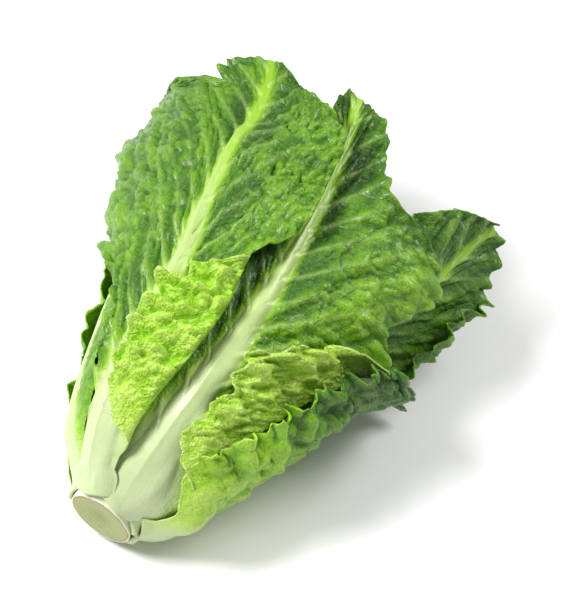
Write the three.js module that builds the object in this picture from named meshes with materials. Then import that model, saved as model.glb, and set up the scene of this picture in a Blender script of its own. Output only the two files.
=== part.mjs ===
// A romaine lettuce head, cut at the butt and lying on its side. Millimetres, +Z up.
// The cut butt faces -X, the leaf tips point to +X, and the table is the plane Z = 0.
//
// Each leaf is a thin closed shell with a thick midrib on its outer side. The leaves are laid on one another from the
// heart outwards, as they grow: a leaf takes its own shape, and is pushed out where the leaves inside it need room.
// A place in the head is given by x along the stem, a turn round it (0 at the top, positive towards +Y) and a radius.
import * as THREE from 'three';

const { lerp, smoothstep, degToRad } = THREE.MathUtils;

// The stem and the outer form of the head
const buttRadius = 17;
const stemLength = 80;
const shoulderRadius = 35;
const shoulderReach = 16;
const widening = 0.32;
const widestX = 190;
const axisLow = 14;
const axisHigh = 51;
const axisReach = 50;
const sag = 0.045;
const sagStart = 50;
const headRise = 56;
const headDrop = 42;
const riseReach = 60;
const dropReach = 36;
const squareness = 2.25;
const stemSides = 24;

// Leaf build
const bladeThickness = 0.8;
const stemGap = 0.4;
const foldRadius = 3.4;
const sweep = 0.3;
const goldenTurn = 137.5;
const innerLeafCount = 12;
const pressDepth = 7.6;
const rowSpacing = 0.01;

// The grid that records how far out the leaves laid so far reach
const stepX = 5;
const stepTurn = 5;
const gridRows = 64;
const gridColumns = 360 / stepTurn;
const easings = 10;

// Passes from one value to another, quickly at first and then ever more slowly
const saturating = (x, from, to, reach) => lerp(to, from, Math.exp(-Math.max(x, 0) / reach));

// Radius of the head's outer form. It is wider than it is high, and flatter below, where it lies on the table.
function headRadius(x, turn) {
  const upper = Math.cos(turn) > 0;
  const shoulder = saturating(x, buttRadius, shoulderRadius, shoulderReach);
  const wide = shoulder + widening * Math.min(Math.max(x, 0), widestX);
  const high = saturating(x, buttRadius, upper ? headRise : headDrop, upper ? riseReach : dropReach);
  const across = Math.pow(Math.abs(Math.sin(turn)) / wide, squareness);
  const upright = Math.pow(Math.abs(Math.cos(turn)) / high, squareness);
  return Math.pow(across + upright, -1 / squareness);
}

// Height of the head's axis above the table. It rises from the butt and sags a little towards the tips.
const axisHeight = (x) => saturating(x, axisLow, axisHigh, axisReach) - sag * Math.max(0, x - sagStart);

const stemRadius = (x) => buttRadius * Math.sqrt(Math.max(0, 1 - (x / stemLength) ** 2));

// Width of a leaf's half blade along its length, as shares of its full width
const plainOutline = [
  [0, 0.17], [0.08, 0.3], [0.2, 0.42], [0.42, 0.7], [0.64, 1], [0.8, 0.97], [0.91, 0.74], [0.97, 0.46], [1, 0.2],
];
const outline = (full) => plainOutline.map(([u, share]) => [u, share * full]);

// The leaves, from the heart outwards, as each list entry describes one:
// turn is where the midrib leaves the stem, and bend is how far its tip swings round from there.
// base and tip are the leaf's ends along the stem, and rise is the length over which it leaves the stem.
// left and right are its edges, as [place along the leaf, distance from the midrib].
// fill is how much of the head's radius it stands at, flare how much further its tip stands out, gap its clearance.
// frill and waves are the height and the number of the waves along its edge.
// A reflexed edge curls back over the leaf: fold is where it turns, from and to where along the leaf, angle how far.
// openLeft and openRight are how steeply that half stands away from the head, at its full from openFrom to openTo.
const innerLeaves = Array.from({ length: innerLeafCount }, (_, k) => {
  const out = k / (innerLeafCount - 1);
  const ring = k < 3 ? 'heart' : k < 7 ? 'third' : 'second';
  const number = k < 3 ? k + 1 : k < 7 ? k - 2 : k - 6;
  return {
    name: `${ring}_leaf_${number}`,
    turn: 73 + goldenTurn * k,
    bend: 9 * Math.sin(1.3 * k + 1),
    base: lerp(64, 15, out),
    tip: lerp(190, 232, out) + 6 * Math.sin(2.6 * k),
    rise: lerp(60, 34, out),
    left: outline(lerp(38, 58, out)),
    right: outline(lerp(38, 58, out)),
    fill: lerp(0.14, 0.72, out),
    flare: lerp(-0.1, 0.02, out),
    gap: lerp(5, 2.6, out),
    frill: lerp(2, 5, out),
    waves: 5 + (k % 3),
    ribHalf: lerp(6, 10, out),
    ribThickness: lerp(2.6, 5, out),
    rows: 9,
    sideColumns: 3,
    openLeft: 0,
    openRight: 0,
    openFrom: 0,
    openTo: 1,
  };
});

const outerLeaves = [
  {
    name: 'left_leaf',
    turn: 84, bend: -12, base: 7, tip: 228, rise: 20, fill: 0.88, flare: 0.12, frill: 6, waves: 6,
    ribHalf: 12, ribThickness: 6,
    left: outline(56),
    right: outline(60),
  },
  {
    name: 'under_leaf',
    turn: 184, bend: 5, base: 6, tip: 240, rise: 20, fill: 0.84, flare: 0.3, frill: 4, waves: 6,
    ribHalf: 13, ribThickness: 6.5,
    left: outline(56),
    right: outline(62),
  },
  {
    name: 'right_leaf',
    turn: 275, bend: 3, base: 7, tip: 248, rise: 20, fill: 0.86, flare: 0.18, frill: 5, waves: 7,
    ribHalf: 12, ribThickness: 6.2, sideColumns: 5, openRight: 0.9, openFrom: 0.5, openTo: 0.66,
    left: [
      [0, 10], [0.1, 18], [0.25, 32], [0.42, 42], [0.64, 50], [0.78, 44], [0.87, 34], [0.93, 26], [0.97, 15], [1, 5],
    ],
    right: [
      [0, 9], [0.1, 16], [0.3, 24], [0.5, 26], [0.56, 26], [0.62, 34], [0.68, 38], [0.74, 38], [0.8, 35],
      [0.86, 27], [0.9, 20], [0.95, 16], [1, 6],
    ],
    reflexRight: { fold: [[0.5, 25], [0.74, 20], [0.9, 18]], from: 0.58, to: 0.88, angle: 160 },
  },
  {
    name: 'middle_leaf',
    turn: 327, bend: 31, base: 4, tip: 256, rise: 18, fill: 0.9, flare: 0.12, frill: 6, waves: 7,
    ribHalf: 14, ribThickness: 6.8, sideColumns: 5,
    left: [[0, 10], [0.08, 17], [0.2, 24], [0.42, 39], [0.64, 52], [0.78, 40], [0.86, 26], [0.93, 15], [1, 6]],
    right: [
      [0, 10], [0.05, 15], [0.09, 23], [0.13, 35], [0.18, 48], [0.235, 62], [0.3, 80], [0.35, 88], [0.4, 86],
      [0.445, 74], [0.485, 60], [0.535, 54], [0.58, 57], [0.645, 57], [0.7, 54], [0.737, 48], [0.755, 38],
      [0.77, 27], [0.786, 22], [0.84, 22], [0.905, 20], [0.96, 16], [1, 8],
    ],
    reflexRight: {
      fold: [[0.05, 14], [0.09, 18], [0.168, 24], [0.255, 36], [0.352, 50], [0.395, 56], [0.482, 56]],
      from: 0.09, to: 0.475, angle: 172,
    },
  },
  {
    name: 'low_right_leaf',
    turn: 231, bend: 4, base: 3.5, tip: 152, rise: 13, fill: 1, flare: 0.02, frill: 7, waves: 9,
    ribHalf: 16, ribThickness: 8, openLeft: 0.22, openFrom: 0.02, openTo: 0.35,
    left: [
      [0, 10], [0.06, 26], [0.1, 36], [0.16, 44], [0.29, 52], [0.47, 58], [0.66, 60], [0.81, 52], [0.9, 36], [1, 12],
    ],
    right: outline(34),
  },
  {
    name: 'low_left_leaf',
    turn: 134, bend: -4, base: 3.5, tip: 214, rise: 17, fill: 0.94, flare: 0.02, frill: 6, waves: 7,
    ribHalf: 13, ribThickness: 6.5,
    left: outline(34),
    right: [
      [0, 10], [0.07, 18], [0.15, 31], [0.3, 44], [0.42, 51], [0.64, 64], [0.8, 63], [0.91, 48], [0.97, 30], [1, 13],
    ],
  },
  {
    name: 'upper_left_leaf',
    turn: 21, bend: 22, base: 3, tip: 254, rise: 17, fill: 0.98, flare: 0.14, frill: 6, waves: 7,
    ribHalf: 14, ribThickness: 6.8, sideColumns: 5, openLeft: 0.16, openFrom: 0.45, openTo: 0.7,
    left: [
      [0, 10], [0.1, 13], [0.25, 18], [0.33, 28], [0.4, 52], [0.52, 70], [0.66, 84], [0.78, 87], [0.85, 79],
      [0.878, 56], [0.9, 23], [0.96, 20], [1, 9],
    ],
    right: [
      [0, 10], [0.04, 13], [0.08, 20], [0.12, 36], [0.18, 54], [0.28, 74], [0.37, 70], [0.43, 50], [0.46, 38],
      [0.5, 43], [0.55, 56], [0.67, 60], [0.77, 61], [0.85, 54], [0.9, 39], [0.96, 19], [1, 8],
    ],
    reflexRight: {
      fold: [[0.04, 12], [0.08, 15], [0.14, 20], [0.21, 28], [0.34, 36], [0.5, 38]], from: 0.08, to: 0.47, angle: 168,
    },
  },
].map((leaf) => ({
  gap: 1.6, rows: 19, sideColumns: 4, openLeft: 0, openRight: 0, openFrom: 0, openTo: 1, ...leaf,
}));

const leaves = [...innerLeaves, ...outerLeaves];

// Reads a list of [place, value] points, with an even passage from each to the next
function follow(points, u) {
  const next = points.findIndex(([place]) => place > u);
  if (next === 0) return points[0][1];
  if (next < 0) return points[points.length - 1][1];
  const [[from, low], [to, high]] = points.slice(next - 1, next + 1);
  return lerp(low, high, (u - from) / (to - from));
}

// Where the midrib stands at u, which runs from 0 at the base to 1 at the tip
const ribTurn = (leaf, u) => degToRad(leaf.turn + leaf.bend * u ** 3);

const bladeHalf = (leaf, side, u) => follow(side > 0 ? leaf.left : leaf.right, u);

// Radius at which a leaf would stand if nothing lay inside it
function freeRadius(leaf, x, turn) {
  const beyond = Math.max(0, (x - 150) / 100);
  const open = leaf.fill * headRadius(x, turn) * (1 + leaf.flare * beyond * beyond);
  return lerp(stemRadius(leaf.base) + stemGap, open, smoothstep(x, leaf.base, leaf.base + leaf.rise));
}

const cell = (row, column) => row * gridColumns + ((column % gridColumns) + gridColumns) % gridColumns;

function readGrid(grid, x, turn) {
  const row = Math.min(Math.max(x / stepX, 0), gridRows - 1.001);
  const column = turn / degToRad(stepTurn);
  const r = Math.floor(row);
  const c = Math.floor(column);
  const low = lerp(grid[cell(r, c)], grid[cell(r, c + 1)], column - c);
  const high = lerp(grid[cell(r + 1, c)], grid[cell(r + 1, c + 1)], column - c);
  return lerp(low, high, row - r);
}

// The sheet that a leaf is cut from: its free shape, pushed out by what lies inside it, and eased like a taut membrane
function layOver(leaf, reached) {
  const least = new Float64Array(gridRows * gridColumns);
  for (let r = 0; r < gridRows; r++) {
    for (let c = 0; c < gridColumns; c++) {
      let inside = 0;
      for (const dr of [-1, 0, 1]) {
        const row = Math.min(Math.max(r + dr, 0), gridRows - 1);
        for (const dc of [-1, 0, 1]) {
          inside = Math.max(inside, reached[cell(row, c + dc)]);
        }
      }
      least[cell(r, c)] = Math.max(freeRadius(leaf, r * stepX, degToRad(c * stepTurn)), inside + leaf.gap);
    }
  }
  let sheet = least;
  for (let pass = 0; pass < easings; pass++) {
    const eased = sheet.slice();
    for (let r = 1; r < gridRows - 1; r++) {
      for (let c = 0; c < gridColumns; c++) {
        const lengthways = sheet[cell(r - 1, c)] + sheet[cell(r + 1, c)];
        const crossways = sheet[cell(r, c - 1)] + sheet[cell(r, c + 1)];
        eased[cell(r, c)] = Math.max(least[cell(r, c)], (lengthways + crossways) / 4);
      }
    }
    sheet = eased;
  }
  return sheet;
}

// How far a reflexed edge is folded at u, in radians
function foldAngle(reflex, u) {
  if (!reflex) return 0;
  const { from, to, angle } = reflex;
  const started = smoothstep(u, from - 0.03, from + 0.05);
  const ended = smoothstep(u, to - 0.05, to + 0.03);
  return degToRad(angle) * started * (1 - ended);
}

// A point of the leaf's middle surface. s runs from -1 at the right edge through 0 at the midrib to 1 at the left edge.
function leafPlace(leaf, sheet, u, s) {
  const ribX = lerp(leaf.base, leaf.tip, u);
  const midrib = ribTurn(leaf, u);
  const side = s < 0 ? -1 : 1;
  const half = bladeHalf(leaf, side, u);
  const along = Math.abs(s) * half;
  const reflex = side > 0 ? leaf.reflexLeft : leaf.reflexRight;
  const fold = foldAngle(reflex, u);
  const flat = fold > 0 ? follow(reflex.fold, u) : half;
  const arc = foldRadius * fold;
  let across = along;
  let up = 0;
  if (along > flat) {
    const turned = Math.min(along - flat, arc) / foldRadius;
    const rest = Math.max(0, along - flat - arc);
    across = flat + foldRadius * Math.sin(turned) + rest * Math.cos(fold);
    up = foldRadius * (1 - Math.cos(turned)) + rest * Math.sin(fold);
  }
  const nearEdge = Math.abs(s) ** 2.2 * smoothstep(u, 0.03, 0.2);
  const phase = leaf.turn + 2 * side;
  const longWaves = 0.36 * Math.sin(2 * Math.PI * leaf.waves * u + phase);
  const shortWaves = 0.14 * Math.sin(15.3 * leaf.waves * u * u + phase);
  const ruffle = leaf.frill * nearEdge * (0.5 + longWaves + shortWaves);
  const x = ribX + sweep * (1 - u ** 6) * across;
  const turn = midrib + (side * across) / readGrid(sheet, ribX, midrib);
  const steepness = side < 0 ? leaf.openRight : leaf.openLeft;
  const opened = steepness * across * Math.min(1, across / 30) * smoothstep(u, leaf.openFrom, leaf.openTo);
  const radius = readGrid(sheet, x, turn) + up + opened + ruffle;
  return { x, turn, radius, fromRib: along };
}

// Extra thickness of the midrib, on the leaf's outer side
function ribRise(leaf, u, fromRib) {
  const half = ribHalf(leaf, u);
  const tapered = lerp(leaf.ribThickness, 0.4, Math.pow(u, 0.8));
  const crown = tapered * lerp(0.35, 1, smoothstep(u, 0, 0.1));
  return crown * Math.max(0, 1 - (fromRib / half) ** 2);
}

function ribHalf(leaf, u) {
  return Math.min(lerp(leaf.ribHalf, 1.6, Math.pow(u, 0.6)), 0.86 * bladeHalf(leaf, 1, u));
}

const placeInHead = ({ x, turn, radius }) =>
  new THREE.Vector3(x, radius * Math.sin(turn), axisHeight(x) + radius * Math.cos(turn));

// Records how far out a finished leaf reaches
function recordReach(leaf, sheet, reached) {
  const alongSamples = 150;
  const acrossSamples = 90;
  for (let i = 0; i <= alongSamples; i++) {
    for (let j = -acrossSamples; j <= acrossSamples; j++) {
      const u = i / alongSamples;
      const place = leafPlace(leaf, sheet, u, j / acrossSamples);
      const outer = place.radius + bladeThickness + ribRise(leaf, u, place.fromRib);
      const at = cell(Math.round(place.x / stepX), Math.round(place.turn / degToRad(stepTurn)));
      reached[at] = Math.max(reached[at], outer);
    }
  }
}

// Where the mesh lines run across a leaf: three close together on each side of the midrib, then evenly out to the edge
function columnsAcross(leaf, u) {
  const side = (direction) => {
    const half = bladeHalf(leaf, direction, u);
    const rib = ribHalf(leaf, u) / half;
    const blade = Array.from({ length: leaf.sideColumns }, (_, k) => lerp(rib, 1, (k + 1) / leaf.sideColumns));
    return [0.55 * rib, rib, ...blade].map((s) => direction * s);
  };
  return [...side(-1).reverse(), 0, ...side(1)];
}

function rowsAlong(leaf) {
  const corners = [...leaf.left, ...leaf.right].map(([u]) => u);
  const even = Array.from({ length: leaf.rows }, (_, k) => (k + 0.5) / leaf.rows);
  const between = even.filter((u) => corners.every((corner) => Math.abs(corner - u) > 0.45 / leaf.rows));
  const rows = [...corners, ...between].sort((a, b) => a - b);
  return rows.filter((u, k) => k === 0 || u - rows[k - 1] > rowSpacing);
}

// The closed shell of one leaf, as rows of outer and inner points
function leafShell(leaf, sheet) {
  const rows = rowsAlong(leaf);
  const middle = rows.map((u) => columnsAcross(leaf, u).map((s) => {
    const place = leafPlace(leaf, sheet, u, s);
    return { point: placeInHead(place), rise: ribRise(leaf, u, place.fromRib) };
  }));
  const columns = middle[0].length;
  const within = (index, count) => Math.min(Math.max(index, 0), count - 1);
  const at = (i, j) => middle[within(i, rows.length)][within(j, columns)].point;
  const outer = [];
  const inner = [];
  middle.forEach((row, i) => row.forEach(({ point, rise }, j) => {
    const lengthways = at(i + 1, j).clone().sub(at(i - 1, j));
    const crossways = at(i, j + 1).clone().sub(at(i, j - 1));
    const normal = lengthways.cross(crossways).normalize();
    outer.push(point.clone().addScaledVector(normal, bladeThickness + rise));
    inner.push(point.clone());
  }));
  return { outer, inner, rowCount: rows.length, columns };
}

// Lets the head down onto the table: outer skin below the table is pressed flat, and the blade keeps its thickness
function pressOnTable({ outer, inner }, drop) {
  outer.forEach((point, k) => {
    point.z = Math.max(0, point.z - drop);
    inner[k].z = Math.max(inner[k].z - drop, bladeThickness);
  });
}

function shellGeometry({ outer, inner, rowCount, columns }) {
  const count = outer.length;
  const faces = [];
  const quad = (a, b, c, d) => faces.push(a, b, c, a, c, d);
  for (let i = 0; i < rowCount - 1; i++) {
    for (let j = 0; j < columns - 1; j++) {
      const a = i * columns + j;
      const b = a + columns;
      quad(a, b, b + 1, a + 1);
      faces.push(count + a, count + b + 1, count + b, count + a, count + a + 1, count + b + 1);
    }
    const right = i * columns;
    const left = right + columns - 1;
    quad(right, count + right, count + right + columns, right + columns);
    quad(left, left + columns, count + left + columns, count + left);
  }
  const tip = (rowCount - 1) * columns;
  for (let j = 0; j < columns - 1; j++) {
    quad(j, j + 1, count + j + 1, count + j);
    quad(tip + j, count + tip + j, count + tip + j + 1, tip + j + 1);
  }
  const geometry = new THREE.BufferGeometry().setFromPoints([...outer, ...inner]);
  geometry.setIndex(faces);
  geometry.computeVertexNormals();
  return geometry;
}

// The stem: half an ellipsoid that rises with the head's axis, with its flat cut face at the butt
function stemGeometry() {
  const rings = 7;
  const rimBevel = 0.8;
  const profile = [new THREE.Vector2(0, 0), new THREE.Vector2(buttRadius - rimBevel, 0)];
  for (let k = 0; k < rings; k++) {
    const x = lerp(rimBevel, stemLength, Math.sin((k / rings) * (Math.PI / 2)));
    profile.push(new THREE.Vector2(stemRadius(x), x));
  }
  profile.push(new THREE.Vector2(0, stemLength));
  const geometry = new THREE.LatheGeometry(profile, stemSides).rotateZ(-Math.PI / 2).rotateX(Math.PI / 2);
  const position = geometry.getAttribute('position');
  for (let i = 0; i < position.count; i++) {
    position.setZ(i, position.getZ(i) + axisHeight(position.getX(i)));
  }
  return geometry;
}

const finish = (color, roughness) => new THREE.MeshStandardMaterial({ color, roughness, metalness: 0 });
const stemFinish = finish('#dfe3bd', 0.5);
const heartFinish = finish('#c5dc74', 0.5);
const innerFinish = finish('#9cc654', 0.48);
const outerFinish = finish('#5f9430', 0.46);

const reached = new Float64Array(gridRows * gridColumns);
for (let r = 0; r < gridRows; r++) {
  for (let c = 0; c < gridColumns; c++) {
    reached[cell(r, c)] = stemRadius(r * stepX);
  }
}
const shells = leaves.map((leaf) => {
  const sheet = layOver(leaf, reached);
  recordReach(leaf, sheet, reached);
  return { leaf, shell: leafShell(leaf, sheet) };
});

const lowest = Math.min(...shells.flatMap(({ shell }) => shell.outer.map((point) => point.z)));
const drop = lowest + pressDepth;
const head = new THREE.Group();
shells.forEach(({ leaf, shell }, k) => {
  pressOnTable(shell, drop);
  const material = k < 3 ? heartFinish : k < innerLeafCount ? innerFinish : outerFinish;
  const mesh = new THREE.Mesh(shellGeometry(shell), material);
  mesh.name = leaf.name;
  head.add(mesh);
});

const stem = new THREE.Mesh(stemGeometry(), stemFinish);
stem.name = 'stem_core';
stem.position.z = -drop;
head.add(stem);

const box = new THREE.Box3().setFromObject(head);
const centre = box.getCenter(new THREE.Vector3());
head.position.set(-centre.x, -centre.y, -box.min.z);

export default head;
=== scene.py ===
import math
import bpy
import numpy as np
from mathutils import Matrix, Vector


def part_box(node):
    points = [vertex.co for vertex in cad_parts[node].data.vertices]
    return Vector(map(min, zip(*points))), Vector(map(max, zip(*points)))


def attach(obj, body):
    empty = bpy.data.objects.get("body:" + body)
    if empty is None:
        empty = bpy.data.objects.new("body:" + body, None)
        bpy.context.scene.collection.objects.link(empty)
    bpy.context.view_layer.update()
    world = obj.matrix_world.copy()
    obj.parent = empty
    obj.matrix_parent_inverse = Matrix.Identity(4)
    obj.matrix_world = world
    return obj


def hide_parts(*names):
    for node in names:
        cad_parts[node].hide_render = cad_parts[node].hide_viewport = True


# A romaine lettuce head on its side. The leaves are laid over one another from the heart outwards, as in the
# solids, and get their blisters, veins, frills and finish here. Lengths in this file are in millimetres until
# they go into a mesh.
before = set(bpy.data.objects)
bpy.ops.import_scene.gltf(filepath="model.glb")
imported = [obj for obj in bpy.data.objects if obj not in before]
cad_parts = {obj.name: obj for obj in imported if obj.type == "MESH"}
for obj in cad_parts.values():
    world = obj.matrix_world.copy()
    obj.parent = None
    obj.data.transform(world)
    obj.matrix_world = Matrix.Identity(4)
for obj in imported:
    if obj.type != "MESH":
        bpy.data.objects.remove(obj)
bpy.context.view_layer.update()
bpy.ops.object.select_all(action="DESELECT")
mm = 0.001


# Small helpers for numbers

def smooth(value, low, high):
    share = np.clip((value - low) / (high - low), 0, 1)
    return share * share * (3 - 2 * share)


def mix(low, high, share):
    return low + (high - low) * share


def saturating(x, start, end, reach):
    return mix(end, start, np.exp(-np.maximum(x, 0) / reach))


def linearColour(hexCode):
    channels = [int(hexCode[i:i + 2], 16) / 255 for i in (1, 3, 5)]
    return [c / 12.92 if c <= 0.04045 else ((c + 0.055) / 1.055) ** 2.4 for c in channels] + [1]


latticeSize = 64     # random values along a side of the field, before it repeats
jitterSize = 61      # cells along a side of the net, before it repeats


def swells(across, along, size, seed):
    # Uneven field between -1 and 1, with swells of about this size
    lattice = np.random.default_rng(seed).uniform(-1, 1, (latticeSize, latticeSize))
    column = np.floor(across / size).astype(int)
    row = np.floor(along / size).astype(int)
    shareAcross = smooth(across / size - column, 0, 1)
    shareAlong = smooth(along / size - row, 0, 1)
    left = column % latticeSize
    right = (column + 1) % latticeSize
    low = row % latticeSize
    high = (row + 1) % latticeSize
    near = mix(lattice[left, low], lattice[right, low], shareAcross)
    far = mix(lattice[left, high], lattice[right, high], shareAcross)
    return mix(near, far, shareAlong)


def puffs(across, along, size, seed):
    # Rounded puffs between sharp creases, as on a bullate leaf
    warp = 0.5 * size * swells(across + 31, along, 1.6 * size, seed + 11)
    return 2 * np.abs(swells(across + warp, along - warp, size, seed)) - 0.7


def cellWalls(across, along, size, seed):
    # Nearness, from 0 to 1, to the thin wall between two irregular cells of about this size
    jitter = np.random.default_rng(seed).random((jitterSize, jitterSize, 2))
    column = np.floor(across / size).astype(int)
    row = np.floor(along / size).astype(int)
    nearest = np.full(across.shape, 9.0)
    second = np.full(across.shape, 9.0)
    for stepColumn in (-1, 0, 1):
        for stepRow in (-1, 0, 1):
            middle = jitter[(column + stepColumn) % jitterSize, (row + stepRow) % jitterSize]
            gapAcross = column + stepColumn + middle[..., 0] - across / size
            gapAlong = row + stepRow + middle[..., 1] - along / size
            distance = np.hypot(gapAcross, gapAlong)
            second = np.minimum(second, np.maximum(nearest, distance))
            nearest = np.minimum(nearest, distance)
    return 1 - smooth(second - nearest, 0.02, 0.14)


# The head's form, the same as the solids'. Only the cut end's spread is the scene's own.

headForm = {
    "buttRadius": 17, "stemLength": 80, "buttSpread": 1.6, "spreadReach": 8,
    "shoulderRadius": 35, "shoulderReach": 16, "widening": 0.32, "widestX": 190,
    "axisLow": 14, "axisHigh": 51, "axisReach": 50, "sag": 0.045, "sagStart": 50,
    "rise": 56, "drop": 42, "riseReach": 60, "dropReach": 36, "squareness": 2.25,
    "bladeThickness": 0.8, "stemGap": 0.4, "leafGap": 1.6, "foldRadius": 3.4, "sweep": 0.3,
    "flareFrom": 150, "flareReach": 100, "openReach": 30,
    "stepX": 5, "stepTurn": 5, "rows": 64, "easings": 10,
}
turnCells = 360 // headForm["stepTurn"]


def headRadius(x, turn):
    form = headForm
    upper = np.cos(turn) > 0
    shoulder = saturating(x, form["buttRadius"], form["shoulderRadius"], form["shoulderReach"])
    wide = shoulder + form["widening"] * np.clip(x, 0, form["widestX"])
    high = np.where(upper, saturating(x, form["buttRadius"], form["rise"], form["riseReach"]),
                    saturating(x, form["buttRadius"], form["drop"], form["dropReach"]))
    across = (np.abs(np.sin(turn)) / wide) ** form["squareness"]
    upright = (np.abs(np.cos(turn)) / high) ** form["squareness"]
    return (across + upright) ** (-1 / form["squareness"])


def axisHeight(x):
    form = headForm
    curved = saturating(x, form["axisLow"], form["axisHigh"], form["axisReach"])
    return curved - form["sag"] * np.maximum(0, x - form["sagStart"])


def stemRadius(x):
    return headForm["buttRadius"] * np.sqrt(np.maximum(0, 1 - (x / headForm["stemLength"]) ** 2))


def stemSkin(x):
    # The cut end spreads a little, where the leaf bases grow out of it
    return stemRadius(x) + headForm["buttSpread"] * np.exp(-x / headForm["spreadReach"])


stemLow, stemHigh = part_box("stem_core")
rimBevel = 0.8      # bevel round the cut end of the solid stem
shift = np.array([
    stemLow.x / mm,
    (stemLow.y + stemHigh.y) / 2 / mm,
    stemLow.z / mm - (axisHeight(rimBevel) - stemRadius(rimBevel)),
])


def placeInHead(x, turn, radius):
    place = np.stack([x, radius * np.sin(turn), axisHeight(x) + radius * np.cos(turn)], axis=-1)
    return place + shift


# The leaves, as in the solids, with edges and folds that follow the photograph a little closer. Turn and bend
# place the midrib, and left and right are its distances to the edges.
# A fold is the line along which the right side turns over. A pillow is a swelling or a hollow, and a patch of
# painted shade is deeper green where the leaf lies in shadow, or lighter as painted light where its amount is
# below zero: each has its place along and across, its spans, and a height or an amount.

plainEdge = [(0, 0.17), (0.08, 0.3), (0.2, 0.42), (0.42, 0.7), (0.64, 1), (0.8, 0.97), (0.91, 0.74),
             (0.97, 0.46), (1, 0.2)]


def edge(full):
    return [(u, share * full) for u, share in plainEdge]


innerRings = [("heart", 3), ("third", 4), ("second", 5)]     # from the middle outwards, with their leaves
innerLeafCount = sum(count for ring, count in innerRings)
innerLeaf = {       # from the first leaf of the heart to the last one of the second ring
    "base": (64, 15), "tip": (190, 232), "rise": (60, 34), "half": (38, 58), "fill": (0.14, 0.72),
    "flare": (-0.1, 0.02), "gap": (5, 2.6), "frill": (2, 5), "ribHalf": (6, 10), "ribThickness": (2.6, 5),
    "green": (0.1, 0.5),
}
firstTurn = 73
goldenAngle = 137.5
leaves = []
for ring, count in innerRings:
    for number in range(1, count + 1):
        k = len(leaves)
        out = k / (innerLeafCount - 1)
        values = {key: mix(inmost, outmost, out) for key, (inmost, outmost) in innerLeaf.items()}
        values["tip"] += 6 * math.sin(2.6 * k)
        half = values.pop("half")
        leaves.append({
            "name": f"{ring}_leaf_{number}", "slot": "heart_leaf" if ring == "heart" else "inner_leaf",
            "turn": firstTurn + goldenAngle * k, "bend": 9 * math.sin(1.3 * k + 1), "waves": 5 + k % 3,
            "left": edge(half), "right": edge(half), "blisters": 0.8, "teeth": 0.8,
            "columns": 48 if ring == "second" else 36, "rows": 112 if ring == "second" else 90, **values,
        })
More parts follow.
